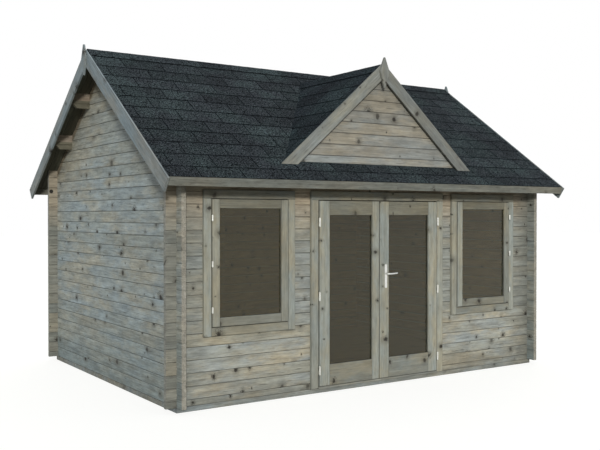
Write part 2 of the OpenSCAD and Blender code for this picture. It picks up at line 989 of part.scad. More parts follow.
foundation_beams();
floor_joists();
floor_boards();
left_wall();
right_wall();
rear_wall();
front_wall_left();
front_wall_right();
front_wall_top();
left_gable();
right_gable();
ridge_purlin();
front_purlins();
rear_purlins();
front_roof_boards();
rear_roof_boards();
front_shingles();
rear_shingles();
ridge_capping();
eave_fascias();
gable_bargeboards();
gable_finials();
dormer_panel();
dormer_roof_boards();
dormer_shingles();
dormer_ridge_capping();
dormer_bargeboards();
dormer_finial();
window_frames();
window_casings();
window_sashes();
window_glass();
window_hinges();
door_threshold();
door_frame();
door_casing();
door_hinge_pins();
left_door_leaf();
left_door_glass();
left_door_hinges();
right_door_leaf();
right_door_glass();
right_door_hinges();
door_handle_plates();
door_lever();
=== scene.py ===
"""Dresses the garden house: weathered log walls under a shingled roof, with a decorative
dormer, a glazed double door and two casement windows. Metres, in the frame of the CAD part.
"""

import math
import random

import bmesh
import bpy
from mathutils import Matrix, Vector, noise


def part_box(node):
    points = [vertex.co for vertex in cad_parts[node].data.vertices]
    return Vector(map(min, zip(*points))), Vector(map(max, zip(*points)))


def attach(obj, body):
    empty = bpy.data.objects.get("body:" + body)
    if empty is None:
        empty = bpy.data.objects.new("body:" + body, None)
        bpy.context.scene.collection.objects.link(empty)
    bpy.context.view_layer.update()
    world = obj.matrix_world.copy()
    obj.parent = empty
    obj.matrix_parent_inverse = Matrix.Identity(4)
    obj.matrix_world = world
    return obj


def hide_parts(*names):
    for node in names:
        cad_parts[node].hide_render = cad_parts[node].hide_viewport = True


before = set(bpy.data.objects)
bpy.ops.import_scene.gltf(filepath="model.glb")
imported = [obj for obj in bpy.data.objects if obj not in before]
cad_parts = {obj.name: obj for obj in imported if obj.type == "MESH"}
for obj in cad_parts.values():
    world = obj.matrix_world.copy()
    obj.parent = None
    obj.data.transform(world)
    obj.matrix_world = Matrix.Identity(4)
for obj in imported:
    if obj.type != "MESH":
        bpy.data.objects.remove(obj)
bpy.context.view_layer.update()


# Foundation
# Impregnated beams lie on the ground under the logs, and joists carry the floor between them.
# They have stayed damp and are darker than the walls.

def linear(code):
    """The linear colour of an sRGB hex code."""
    parts = [int(code[i:i + 2], 16) / 255 for i in (1, 3, 5)]
    return [*(c / 12.92 if c <= 0.04045 else ((c + 0.055) / 1.055) ** 2.4 for c in parts), 1.0]


def add(tree, kind, *values, out=0, **settings):
    """One shader node: its properties and inputs are set by name, inputs also in order."""
    node = tree.nodes.new("ShaderNode" + kind)
    inputs = dict(enumerate(values))
    for name, value in settings.items():
        if name in node.bl_rna.properties:
            setattr(node, name, value)
        else:
            inputs[name.replace("_", " ")] = value
    for key, value in inputs.items():
        if isinstance(value, bpy.types.NodeSocket):
            tree.links.new(value, node.inputs[key])
        else:
            node.inputs[key].default_value = value
    return node.outputs[out] if len(node.outputs) else None


def new_material(name):
    """An empty node material and its tree."""
    material = bpy.data.materials.new(name)
    material.use_nodes = True
    material.node_tree.nodes.clear()
    return material, material.node_tree


def surfaced(material, **settings):
    """Ends a material with its surface."""
    tree = material.node_tree
    add(tree, "OutputMaterial", add(tree, "BsdfPrincipled", **settings))
    return material


def times(tree, value, factor):
    """The product of two shader values."""
    return add(tree, "Math", value, factor, operation="MULTIPLY")


def remap(tree, *values, kind="LINEAR"):
    """A passage from one range of shader values to another."""
    return add(tree, "MapRange", *values, interpolation_type=kind)


def ramp(tree, *values):
    """A smooth passage."""
    return remap(tree, *values, kind="SMOOTHSTEP")


def drawn_noise(tree, spot, stretch, **settings):
    """Noise with a scale of its own along each axis."""
    spot = add(tree, "VectorMath", spot, stretch, operation="MULTIPLY")
    return add(tree, "TexNoise", Vector=spot, Scale=1.0, **settings)


def carried(tree, name):
    """A value that the mesh carries."""
    return add(tree, "Attribute", attribute_name=name, out="Fac")


def blend(tree, share, colour, code):
    """A colour with a share of another."""
    return add(tree, "MixRGB", share, colour, linear(code))


# The walls' outer faces, the logs' section, and the roof's pitch and lower plane
wall_x, wall_y = 2.25, 1.64
log_height, log_thick = 0.114, 0.044
pitch = math.radians(35)
under_ridge = 3.3563


def weathered_wood(name, cool, plain, warm, axis=None, joint=None, knots=0.7, relief=1.0,
                   contrast=1.0, cut="#716e63", mark=None, ply_shade=None):
    """Grey wood with grain, checks and knots, from three greys. Logs and beams run along an axis,
    other boards carry their own grain coordinates and tone. A joint is the height of one between
    logs, cut the colour of end grain, mark the place of a dark spot and ply_shade a darker colour
    painted on a beam's lower section as painted shade."""
    material, tree = new_material(name)
    if axis:
        spot = add(tree, "TexCoord", out="Object")
        x, y, z = add(tree, "SeparateXYZ", spot).node.outputs
        along, through = (x, y) if axis == "x" else (y, x)
        if joint is None:
            row = times(tree, through, 3.0)
        else:
            row = add(tree, "Math", z, joint, operation="SUBTRACT")
            row = add(tree, "Math", row, log_height, operation="DIVIDE")
        step = add(tree, "Math", row, operation="FLOOR")
        far_side = add(tree, "Math", x, 0.0, operation="GREATER_THAN")
        step = add(tree, "Math", far_side, 41.0, step, operation="MULTIPLY_ADD")
        chance = add(tree, "TexWhiteNoise", W=step, noise_dimensions="1D", out="Value")
        grain = add(tree, "CombineXYZ", along, z, through)
    else:
        grain = add(tree, "Attribute", attribute_name="grain", out="Vector")
        chance = carried(tree, "chance")
        tone = carried(tree, "tone")
        grime_and_shade = carried(tree, "grime_and_shade")
        free_of_grime_and_shade = add(tree, "Math", 1.0, grime_and_shade, operation="SUBTRACT")
    cell = add(tree, "VectorMath", chance, (37.0, 11.0, 5.0), grain, operation="MULTIPLY_ADD")
    u, v, w = add(tree, "SeparateXYZ", cell).node.outputs

    # Knots 10 to 50 mm wide, about 0.25 m apart, each with a halo where the grain bends. Some
    # have cracked and split
    flat = add(tree, "CombineXYZ", u, add(tree, "Math", v, w), 0.0)
    flat = add(tree, "VectorMath", flat, (0.6 if axis == "y" else 1.0, 0.8, 0.0), operation="MULTIPLY")
    spread = {"x": 5.2, "y": 5.4}.get(axis, 4.6)
    far = add(tree, "TexVoronoi", Vector=flat, Scale=spread, voronoi_dimensions="2D", out="Distance")
    dice = add(tree, "SeparateColor", far.node.outputs["Color"]).node.outputs
    size = add(tree, "Math", dice[0], 2.4, operation="POWER")
    size = remap(tree, size, 0.0, 1.0, 0.026, 0.140)
    ragged = add(tree, "TexNoise", Vector=cell, Scale=45.0, Detail=3.0)
    ragged = remap(tree, ragged, 0.0, 1.0, -0.07, 0.07)
    near = add(tree, "Math", add(tree, "Math", far, ragged), size, operation="DIVIDE")
    chosen = add(tree, "Math", dice[1], knots, operation="LESS_THAN")
    knot = times(tree, ramp(tree, near, 0.4, 1.1, 1.0, 0.0), chosen)
    halo = times(tree, ramp(tree, near, 0.6, 3.0, 1.0, 0.0), chosen)
    split = drawn_noise(tree, cell, (60.0, 130.0, 130.0), Detail=1.0)
    split = remap(tree, split, 0.52, 0.60, 0.0, 0.85)
    torn = add(tree, "Math", dice[2], 0.7, operation="GREATER_THAN")
    split = times(tree, split, times(tree, torn, halo))

    # Grain in bands 36 mm, 12 mm and 3 mm apart, drawn out along the wood, with thin checks
    bent = add(tree, "Math", halo, 0.012, v, operation="MULTIPLY_ADD")
    bent = add(tree, "CombineXYZ", u, bent, w)
    bands = drawn_noise(tree, bent, (2.4, 28.0, 28.0), Detail=3.0, Roughness=0.6)
    lines = drawn_noise(tree, bent, (3.6, 85.0, 85.0), Detail=4.0, Roughness=0.65)
    fine = drawn_noise(tree, bent, (16.0, 330.0, 330.0), Detail=2.0)
    checks = drawn_noise(tree, bent, (7.0, 115.0, 115.0), Detail=2.0)
    checks = remap(tree, checks, 0.62, 0.72, 0.0, 1.0)

    # Patches of silver, plain and tan wood, 0.2 to 0.6 m long, that run on from log to log
    cloud = cell
    if axis:
        cloud = add(tree, "VectorMath", chance, (0.8, 0.25, 0.1), grain, operation="MULTIPLY_ADD")
    patch = drawn_noise(tree, cloud, (1.7, 4.6, 4.6), Detail=6.0, Roughness=0.68)
    lean = add(tree, "Math", chance, 0.16, patch, operation="MULTIPLY_ADD")
    silver = ramp(tree, lean, 0.40, 0.76, 0.0, 1.0)
    tan = add(tree, "VectorMath", cloud, (1.3, 3.8, 3.8), operation="MULTIPLY")
    tan = add(tree, "VectorMath", tan, (40.0, 9.0, 0.0))
    tan = add(tree, "TexNoise", Vector=tan, Scale=1.0, Detail=6.0, Roughness=0.68)
    tan = ramp(tree, tan, 0.42, 0.66, 0.0, 1.0)
    blotch = drawn_noise(tree, cell, (5.5, 15.0, 15.0), Detail=5.0, Roughness=0.7)
    colour = add(tree, "MixRGB", silver, linear(plain), linear(cool))
    colour = blend(tree, tan, colour, warm)

    if axis:
        # The sheltered inside has kept its pine colour, and so has a strip under the verges,
        # where the gables are tan rather than silver
        off_x = add(tree, "Math", x, operation="ABSOLUTE")
        off_y = add(tree, "Math", y, operation="ABSOLUTE")
        if axis == "y":
            reach = add(tree, "Math", off_y, math.tan(pitch), z, operation="MULTIPLY_ADD")
            reach = add(tree, "Math", reach, under_ridge, operation="SUBTRACT")
            reach = add(tree, "Math", patch, 0.14, reach, operation="MULTIPLY_ADD")
            shelter_and_shade = remap(tree, reach, -0.75, 0.0, 0.0, 0.5)
            colour = blend(tree, shelter_and_shade, colour, "#a09680")
            shelter_and_shade = ramp(tree, reach, -0.02, 0.03, 0.0, 0.7)
            colour = blend(tree, shelter_and_shade, colour, "#6b5a41")
        if ply_shade:
            # The two glued sections of a beam meet 50 mm above its foot; the lower one is painted darker as
            # painted shade
            section = add(tree, "Math", off_y, math.tan(pitch), z, operation="MULTIPLY_ADD")
            section = remap(tree, section, under_ridge - 0.0793, under_ridge - 0.0743, 0.9, 0.0)
            colour = blend(tree, section, colour, ply_shade)
        inner_x = add(tree, "Math", off_x, wall_x - log_thick + 0.0015, operation="LESS_THAN")
        inner_y = add(tree, "Math", off_y, wall_y - log_thick + 0.0015, operation="LESS_THAN")
        inside = times(tree, inner_x, inner_y)
    else:
        # Members in the shade of the eaves are darker and browner
        shelter_and_shade = remap(tree, tone, 0.5, 0.8, 0.6, 0.0)
        colour = blend(tree, shelter_and_shade, colour, "#a59b80")
    if joint is not None:
        # Crossed log ends beyond the corners have weathered unevenly and darker, and the logs near
        # the ground have stayed damp. The front corners are painted with the same grey as painted
        # shade, heavily at the right. Between the openings they are greyer, and under the eaves, out of
        # the rain, they have stayed tan, the top painted paler still as painted light
        if axis == "x":
            half, stub_share, damp_top, damp_share, damp_and_shade_grey = wall_x, 0.7, 0.30, 0.45, "#70716a"
        else:
            half, stub_share, damp_top, damp_share, damp_and_shade_grey = wall_y, 0.3, 0.90, 0.60, "#788382"
        beyond = add(tree, "Math", along, operation="ABSOLUTE")
        beyond = add(tree, "Math", beyond, half + 0.0002, operation="GREATER_THAN")
        stub = add(tree, "MixRGB", chance, linear("#6c716e"), linear("#8d836f"))
        colour = add(tree, "MixRGB", times(tree, beyond, stub_share), colour, stub)
        damp_and_shade = remap(tree, z, 0.06, damp_top, damp_share, 0.0)
        if axis == "x":
            piers = ramp(tree, z, 0.60, 0.74, 0.0, 0.42)
            colour = blend(tree, piers, colour, "#82847e")
            # Tan out of the rain under the eaves, and painted light near the top against the eaves' shadow
            shelter_and_shade = ramp(tree, z, 1.50, 1.92, 0.0, 0.85)
            colour = blend(tree, shelter_and_shade, colour, "#ab9b84")
            # Painted shade: the front corners darken towards their ends, far more at the right
            for near_x, far_x, share in ((1.80, 2.34, 0.98), (-1.9, -2.15, 0.35)):
                corner_shade = ramp(tree, x, near_x, far_x, 0.0, share)
                damp_and_shade = add(tree, "Math", damp_and_shade, corner_shade, operation="MAXIMUM")
        colour = blend(tree, damp_and_shade, colour, damp_and_shade_grey)
    if axis:
        colour = blend(tree, inside, colour, "#a4875c")
    if axis and cut:
        # Cut ends have weathered to a grey of their own
        facing = add(tree, "SeparateXYZ", add(tree, "TexCoord", out="Normal")).node.outputs[axis.upper()]
        facing = add(tree, "Math", facing, operation="ABSOLUTE")
        end = remap(tree, facing, 0.8, 0.95, 0.0, 0.8)
        colour = blend(tree, end, colour, cut)

    shade = remap(tree, chance, 0.0, 1.0, 0.94, 1.06)
    for grade, part in ((lines, 0.20), (bands, 0.17), (blotch, 0.24), (fine, 0.10)):
        grade = remap(tree, grade, 0.3, 0.7, 1.0 - part * contrast, 1.0 + part * contrast)
        shade = times(tree, shade, grade)
    # Boards take their tone, and their edges and sides are darkened by dirt and painted shade
    if not axis:
        shade = times(tree, shade, times(tree, tone, free_of_grime_and_shade))
    colour = add(tree, "MixRGB", 1.0, colour, shade, blend_type="MULTIPLY")
    colour = blend(tree, times(tree, checks, 0.5 * contrast), colour, "#3a3833")
    colour = blend(tree, times(tree, halo, 0.42), colour, "#5a564c")
    dark = times(tree, knot, remap(tree, dice[2], 0.0, 0.6, 0.55, 0.92))
    dark = add(tree, "Math", dark, split, operation="MAXIMUM")
    colour = blend(tree, dark, colour, "#2a2622")
    if joint is not None:
        # Dirt and shadow fill the chamfered joints between the logs
        gap = add(tree, "Math", row, operation="FRACT")
        gap = add(tree, "Math", gap, 0.5, operation="SUBTRACT")
        gap = times(tree, add(tree, "Math", gap, operation="ABSOLUTE"), log_height)
        gap = ramp(tree, gap, log_height / 2 - 0.0040, log_height / 2 - 0.0006, 0.0, 0.95)
        gap = times(tree, gap, remap(tree, blotch, 0.35, 0.6, 0.2, 0.9))
        gap = times(tree, gap, remap(tree, beyond, 0.0, 1.0, 1.0, 0.4))
        colour = blend(tree, gap, colour, "#2c2d2a")
    if mark:
        # A dark round spot, about 45 mm wide
        hole = add(tree, "VectorMath", spot, mark, operation="DISTANCE", out="Value")
        hole = remap(tree, hole, 0.020, 0.026, 0.95, 0.0)
        colour = blend(tree, hole, colour, "#1c1b19")

    height = add(tree, "Math", fine, 0.4, lines, operation="MULTIPLY_ADD")
    height = add(tree, "Math", checks, -0.6, height, operation="MULTIPLY_ADD")
    height = add(tree, "Math", knot, 0.5, height, operation="MULTIPLY_ADD")
    normal = add(tree, "Bump", Height=height, Strength=0.5 * relief, Distance=0.0015)
    return surfaced(material, Base_Color=colour, Normal=normal, Roughness=0.85, Specular_IOR_Level=0.2)


def dress(material, *names):
    """Gives CAD nodes their material."""
    for name in names:
        node = bpy.data.objects[name]
        node.data.materials.clear()
        node.data.materials.append(material)


# Impregnated softwood, damp close to the ground
base_wood = weathered_wood("impregnated_beams", "#848a8a", "#858781", "#8a877b", "x", knots=0.3, cut=None)
dress(base_wood, "foundation_beams", "floor_joists")


# Log walls
# Planed spruce logs, 44 mm thick and 114 mm high, stacked with chamfered joints and notched
# over each other at the corners. Sun and rain have turned them silver grey outside. The
# threshold, let into the doorway with a nose under the leaves, is of the same wood.

# Grey spruce of the walls, along the front and along the sides
front_spruce = weathered_wood(
    "weathered_spruce_front", "#9b9f9c", "#a09e91", "#aea48e", "x", joint=0.102, knots=0.75,
    cut="#8e8d85", mark=(-2.322, 1.596, 1.994))
side_spruce = weathered_wood(
    "weathered_spruce_side", "#97a1a3", "#9a9f99", "#a5a294", "y", joint=0.045, knots=0.62,
    cut="#979083")
dress(front_spruce, "front_wall_left", "front_wall_right", "front_wall_top", "rear_wall", "door_threshold")
dress(side_spruce, "left_wall", "right_wall", "left_gable", "right_gable")


# Floor boarding
# Planed pine boards, 100 mm wide and 18 mm thick, tongued together and nailed to the joists.
# They lie indoors and have kept their honey colour.

def prism(ring, lift):
    """A mesh in progress: a ring of points drawn out along a lift."""
    bm = bmesh.new()
    low = bm.faces.new([bm.verts.new(point) for point in ring])
    raised = bmesh.ops.extrude_face_region(bm, geom=[low])["geom"]
    raised = [item for item in raised if isinstance(item, bmesh.types.BMVert)]
    bmesh.ops.translate(bm, verts=raised, vec=lift)
    bmesh.ops.recalc_face_normals(bm, faces=bm.faces)
    return bm


def new_mesh(name, points, faces, point_values, face_values):
    """A mesh with named values on its points and on its faces."""
    mesh = bpy.data.meshes.new(name)
    mesh.from_pydata(points, [], faces)
    for domain, values in (("POINT", point_values), ("FACE", face_values)):
        for label, numbers in values.items():
            mesh.attributes.new(label, "FLOAT", domain).data.foreach_set("value", numbers)
    return mesh


def new_object(name, data):
    """An object in the scene."""
    item = bpy.data.objects.new(name, data)
    bpy.context.scene.collection.objects.link(item)
    return item


def place(name, mesh, body, node, material):
    """Puts a finished mesh on a body in place of a CAD node."""
    mesh.materials.append(material)
    piece = new_object(name, mesh)
    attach(piece, body)
    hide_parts(node)


def timber(name, body, node, material, boards, ease=0.0025, grime_and_shade=0.0):
    """One piece made of boards. A board is an outline along and across its grain, a depth,
    an origin, the two directions and, if not 1, a tone. Its edges are eased and darkened,
    its sides darkened by the amount given: dirt and painted shade in the gaps between parts."""
    dice = random.Random(name)
    edge_grime_and_shade = max(grime_and_shade, 0.4)
    points, faces, grain, chance, tone, grime_and_shade_values = [], [], [], [], [], []
    for outline, depth, origin, along, across, *shade in boards:
        bm = prism([(u, v, 0.0) for u, v in outline], (0.0, 0.0, depth))
        bmesh.ops.bevel(bm, geom=bm.edges[:], offset=ease, segments=2, profile=0.6, affect="EDGES")
        bm.normal_update()
        bm.verts.index_update()
        along, across = Vector(along), Vector(across)
        turn = Matrix((along, across, along.cross(across))).transposed()
        shift = Vector((dice.uniform(0, 60), dice.uniform(0, 20), dice.uniform(0, 9)))
        luck = dice.random()
        start = len(points)
        for vert in bm.verts:
            points.append(Vector(origin) + turn @ vert.co)
            grain.extend(vert.co + shift)
            chance.append(luck)
            tone.append(shade[0] if shade else 1.0)
        for face in bm.faces:
            faces.append([start + vert.index for vert in face.verts])
            # Eased edges and sides are darkened by dirt and painted shade
            tilt = abs(face.normal.z)
            grime_and_shade_values.append(0.0 if tilt > 0.97 else grime_and_shade if tilt < 0.15 else edge_grime_and_shade)
        bm.free()
    mesh = new_mesh(name, points, faces, {"chance": chance, "tone": tone}, {"grime_and_shade": grime_and_shade_values})
    mesh.attributes.new("grain", "FLOAT_VECTOR", "POINT").data.foreach_set("vector", grain)
    place(name, mesh, body, node, material)


def strip(length, width):
    """The outline of a straight board."""
    return [(0, 0), (length, 0), (length, width), (0, width)]


X, Y, Z = (1.0, 0.0, 0.0), (0.0, 1.0, 0.0), (0.0, 0.0, 1.0)
plank_gap, butt_gap = 0.0006, 0.0004
floor_rows, floor_ease = 32, 0.0012

# Honey-coloured pine indoors
floor_pine = weathered_wood("pine_floor", "#a98a5f", "#b0925f", "#a27f4e", knots=0.5)
(floor_x, floor_y, floor_low), (floor_far, floor_back, floor_top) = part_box("floor_boards")
width = (floor_back - floor_y) / floor_rows
dice = random.Random("floor")
boards = []
for i in range(floor_rows):
    cut = dice.uniform(-1.3, 1.3)
    for x0, x1 in ((floor_x, cut - butt_gap), (cut + butt_gap, floor_far)):
        outline = strip(x1 - x0, width - plank_gap)
        boards.append((outline, floor_top - floor_low, (x0, floor_y + i * width, floor_low), X, Y))
timber("floor_planks", "house", "floor_boards", floor_pine, boards, floor_ease)


# Purlins
# Five beams of two glued log sections run from gable to gable and carry the roof boarding.
# Their ends stand out under the verge and are cut to a nose.

# Spruce that has stayed brown under the roof, its lower section painted darker as painted shade
purlin_wood = weathered_wood(
    "weathered_purlins", "#857b6f", "#857868", "#827160", "x", knots=0.4, relief=0.7, cut="#7d7468",
    ply_shade="#625f51")
dress(purlin_wood, "ridge_purlin", "front_purlins", "rear_purlins")


# Roof boarding
# Boards 18 mm thick lie side by side down both slopes, nailed to the purlins. Their undersides,
# stained dark brown, show at the verge and at the eaves.

fall, level = math.sin(pitch), math.cos(pitch)
verge = 2.454
boarding_head, boarding_foot, boarding_depth = 0.0203, 1.922, 0.0178
roof_rows = 49
width = 2 * verge / roof_rows
length = (boarding_foot - boarding_head) / level

# Pine stained dark brown
stain = ("#54554a", "#515145", "#4b483b")
stained_pine = weathered_wood("stained_roof_boards", *stain, knots=0.4)
for name, node, side in (
        ("front_roof_planks", "front_roof_boards", -1),
        ("rear_roof_planks", "rear_roof_boards", 1)):
    down, across = (0, side * level, -fall), (-side, 0, 0)
    outline = strip(length, width - plank_gap)
    boards = []
    for i in range(roof_rows):
        origin = (side * (verge - i * width), 0, under_ridge)
        boards.append((outline, boarding_depth, origin, down, across))
    timber(name, "house", node, stained_pine, boards)


# Shingles
# Slate-grey bitumen shingles with mineral granules, in courses with 206 mm showing. Each strip
# is slotted into tabs 430 mm wide, and the slots of one course stand over the tabs of the next.

def granules(name, blue, green):
    """Dark mineral granules on bitumen, darker under each butt and on cut edges."""
    material, tree = new_material(name)
    spot = add(tree, "TexCoord", out="Object")
    chance = carried(tree, "chance")
    edge = carried(tree, "edge")
    drop = carried(tree, "drop")
    # Clusters of granules 12 mm wide, single ones of 2 mm and clouds of 0.4 m
    coarse = add(tree, "TexNoise", Vector=spot, Scale=82.0, Detail=2.0, Roughness=0.8)
    speck = add(tree, "TexNoise", Vector=spot, Scale=420.0, Detail=1.0)
    cloud = add(tree, "TexNoise", Vector=spot, Scale=2.3, Detail=3.0)
    shade = remap(tree, cloud, 0.35, 0.65, 0.78, 1.2)
    shade = times(tree, shade, remap(tree, chance, 0.0, 1.0, 0.82, 1.18))
    clusters = remap(tree, coarse, 0.40, 0.66, 0.0, 2.75)
    grains = remap(tree, speck, 0.3, 0.7, 0.55, 1.45)
    cloud = remap(tree, cloud, 0.42, 0.6, 0.0, 1.0)
    colour = add(tree, "MixRGB", cloud, linear(blue), linear(green))
    for factor in (shade, clusters, grains):
        colour = add(tree, "MixRGB", 1.0, colour, factor, blend_type="MULTIPLY")
    # An uneven shadow, 13 mm wide at most, under the butt above
    under = ramp(tree, drop, 0.003, 0.013, 0.8, 0.0)
    uneven = add(tree, "TexNoise", Vector=spot, Scale=6.0, Detail=3.0)
    under = times(tree, under, remap(tree, uneven, 0.38, 0.6, 0.15, 1.0))
    dark = add(tree, "Math", under, edge, operation="MAXIMUM")
    colour = blend(tree, dark, colour, "#14171a")
    height = add(tree, "Math", speck, 0.5, coarse, operation="MULTIPLY_ADD")
    normal = add(tree, "Bump", Height=height, Strength=0.6, Distance=0.002)
    return surfaced(material, Base_Color=colour, Normal=normal, Roughness=0.95, Specular_IOR_Level=0.02)


def outward(mesh):
    """Turns the faces of a mesh outwards."""
    bm = bmesh.new()
    bm.from_mesh(mesh)
    bmesh.ops.recalc_face_normals(bm, faces=bm.faces)
    bm.to_mesh(mesh)
    bm.free()
    return mesh


# Mineral granules on bitumen
slate_granules = granules("bitumen_granules", "#323639", "#303738")
tab_width, slot_width, shingle_thick, shingle_wave = 0.43, 0.0095, 0.0045, 0.0009
head_lap, head_depth, felt_depth, felt_inset = 0.035, 0.0055, 0.0058, 0.004
shortest, narrowest, most_slip = 0.08, 0.01, 0.002


def shingled(name, origin, along, down, span, first, foot, start, seed, exposure=0.2055):
    """A mesh of shingle tabs on a slope: the butt of each course lies on the plane through the
    origin, its top end lower, under the butt of the next course. Butts are measured down the
    slope, from the first to the foot, and slots along it, from the start."""
    dice = random.Random(seed)
    along, down, origin = map(Vector, (along, down, origin))
    out = along.cross(down)
    out = out if out.z > 0 else -out
    points, faces, chance, edge, drop = [], [], [], [], []

    def sheet(a0, a1, s0, s1, head, tail, seen, luck, across=6, deep=3):
        """One tab as a closed plate with a slightly uneven face."""
        first_point = len(points)
        for layer in (0.0, -shingle_thick):
            for j in range(deep + 1):
                for i in range(across + 1):
                    a, s = a0 + (a1 - a0) * i / across, s0 + (s1 - s0) * j / deep
                    h = tail + (head - tail) * (s1 - s) / (s1 - s0) + layer
                    h += shingle_wave * noise.noise(Vector((a * 7, s * 7, seed)))
                    points.append(origin + along * a + down * s + out * h)
                    chance.append(luck)
                    drop.append(s - seen)
        n = across + 1
        lower = first_point + n * (deep + 1)
        for j in range(deep):
            for i in range(across):
                q = [j * n + i, j * n + i + 1, (j + 1) * n + i + 1, (j + 1) * n + i]
                faces.append([first_point + k for k in q])
                edge.append(0.0)
                faces.append([lower + k for k in reversed(q)])
                edge.append(1.0)
        rim = [*range(n), *(j * n + across for j in range(1, deep + 1))]
        rim += [deep * n + i for i in range(across - 1, -1, -1)]
        rim += [j * n for j in range(deep - 1, 0, -1)]
        for p, q in zip(rim, rim[1:] + rim[:1]):
            faces.append([first_point + p, lower + p, lower + q, first_point + q])
            edge.append(1.0)

    # The felt under the shingles shows only in the slots
    sheet(*span, 0.0, foot - felt_inset, -felt_depth, -felt_depth, -1.0, 0.0, 8, 8)
    edge[:] = [1.0] * len(edge)
    butts = []
    line = first
    while line < foot - shortest:
        butts.append(line)
        line += exposure
    butts.append(foot)
    for k in range(1, len(butts)):
        high, butt = butts[k - 1], butts[k]
        slots = start + (tab_width / 2 if k % 2 else 0.0)
        slots -= tab_width * math.ceil((slots - span[0]) / tab_width)
        while slots < span[1]:
            a0 = max(span[0], slots + slot_width / 2)
            a1 = min(span[1], slots + tab_width - slot_width / 2)
            slots += tab_width
            if a1 - a0 > narrowest:
                slip = dice.uniform(-most_slip, most_slip) if k < len(butts) - 1 else 0.0
                sheet(a0, a1, high - head_lap, butt + slip, -head_depth, 0.0, high, dice.random())
    return outward(new_mesh(name, points, faces, {"chance": chance, "drop": drop}, {"edge": edge}))


shingle_ridge = 3.3859
shingle_foot = 1.925
for name, node, side in (
        ("front_shingle_courses", "front_shingles", -1),
        ("rear_shingle_courses", "rear_shingles", 1)):
    mesh = shingled(
        name, (0, 0, shingle_ridge), X, (0, side * level, -fall), (-verge, verge), first=0.126,
        foot=shingle_foot / level, start=-2.36, seed=3 + side)
    place(name, mesh, "house", node, slate_granules)


# Ridge capping
# Strips of the same shingle are folded over the ridge and lap each other along it. The exposed
# end of each lies a little higher than the one it laps.

cap_wing, cap_step, cap_lap = 0.128, 0.205, 0.05
cap_thick, cap_lift, cap_crown, cap_seat = 0.0042, 0.0016, 0.006, 0.0006
cap_edge = 0.4


def capped(name, origin, along, side, tilt, span, seed):
    """A mesh of folded cappings along a ridge, side being the level direction across it."""
    dice = random.Random(seed)
    origin, along, side = map(Vector, (origin, along, side))
    points, faces, chance, edge = [], [], [], []
    folds = [-1.0, -0.72, -0.42, -0.14, -0.05, 0.05, 0.14, 0.42, 0.72, 1.0]
    n = len(folds)
    a = span[0]
    while a < span[1] - narrowest:
        b = min(span[1], a + cap_step)
        reach = min(span[1], b + cap_lap)
        luck = dice.random()
        start = len(points)
        for layer in (cap_thick, 0.0):
            for end, lift in ((a, cap_lift), (reach, 0.0)):
                for t in folds:
                    lateral = t * cap_wing * math.cos(tilt)
                    height = -abs(t) * cap_wing * math.sin(tilt) + cap_crown * (1.0 - abs(t)) ** 2
                    rise = Vector((0, 0, height + layer + lift))
                    points.append(origin + along * end + side * lateral + rise)
                    chance.append(luck)
        for i in range(n - 1):
            faces.append([start + i, start + i + 1, start + n + i + 1, start + n + i])
            edge.append(0.0)
            under = start + 2 * n + i
            faces.append([under + n, under + n + 1, under + 1, under])
            edge.append(cap_edge)
            for p in (start, start + n):
                faces.append([p + i, p + 2 * n + i, p + 2 * n + i + 1, p + i + 1])
                edge.append(cap_edge)
        for i in (0, n - 1):
            faces.append([start + i, start + n + i, start + 3 * n + i, start + 2 * n + i])
            edge.append(cap_edge)
        a = b
    values = {"chance": chance, "drop": [1.0] * len(points)}
    return outward(new_mesh(name, points, faces, values, {"edge": edge}))


mesh = capped("ridge_cap_strips", (0, 0, shingle_ridge + cap_seat), X, Y, pitch, (-verge, verge), 5)
place("ridge_cap_strips", mesh, "house", "ridge_capping", slate_granules)


# Eave fascias
# Planed boards 20 mm thick close the roof's edge over the eaves and carry the shingles' drip.
# They run from verge to verge.

# Spruce darkened by the wet
fascia_wood = weathered_wood("weathered_fascia", "#6f716b", "#6f6f66", "#737065", "x", knots=0.35)
dress(fascia_wood, "eave_fascias")


# Gable bargeboards and finials
# Boards 135 mm wide cover the roof's edge at both gables, mitred at the ridge and nailed to the
# boarding. A pointed diamond of the same board covers each mitre.

fit, mitre_gap = 0.0003, 0.0002
trim_thick, barge, barge_foot = 0.02, 0.135, 1.950
barge_in = verge + fit
barge_out = barge_in + trim_thick

# Blue-grey trim in the open weather
trim_wood = weathered_wood(
    "weathered_trim_open", "#808b8f", "#818888", "#868782", knots=0.75, contrast=0.7)
long_edge = barge_foot / level
outline = [(mitre_gap, 0), (long_edge, 0), (long_edge, barge), (barge * math.tan(pitch), barge)]
boards = []
for x0 in (-barge_out, barge_in):
    for side, x in ((-1, x0), (1, x0 + trim_thick)):
        along, across = (0, side * level, -fall), (0, -side * fall, -level)
        boards.append((outline, trim_thick, (x, side * mitre_gap, shingle_ridge), along, across))
timber("verge_boards", "house", "gable_bargeboards", trim_wood, boards)

tip, waist, waist_half, blunt, diamond_rise = 0.31, 0.14, 0.062, 0.006, 0.048
diamond = [(0, -blunt), (waist, -waist_half), (tip, -blunt), (tip, blunt), (waist, waist_half), (0, blunt)]
top = shingle_ridge + diamond_rise
boards = []
for x0 in (-barge_out - fit - trim_thick, barge_out + fit):
    boards.append((diamond, trim_thick, (x0, 0, top), (0, 0, -1), Y))
timber("gable_diamonds", "house", "gable_finials", trim_wood, boards)


# Dormer
# A decorative gable stands on the front slope: a panel of boards 114 mm wide under two small
# shingled slopes, with bargeboards 120 mm wide and a diamond over their mitre.

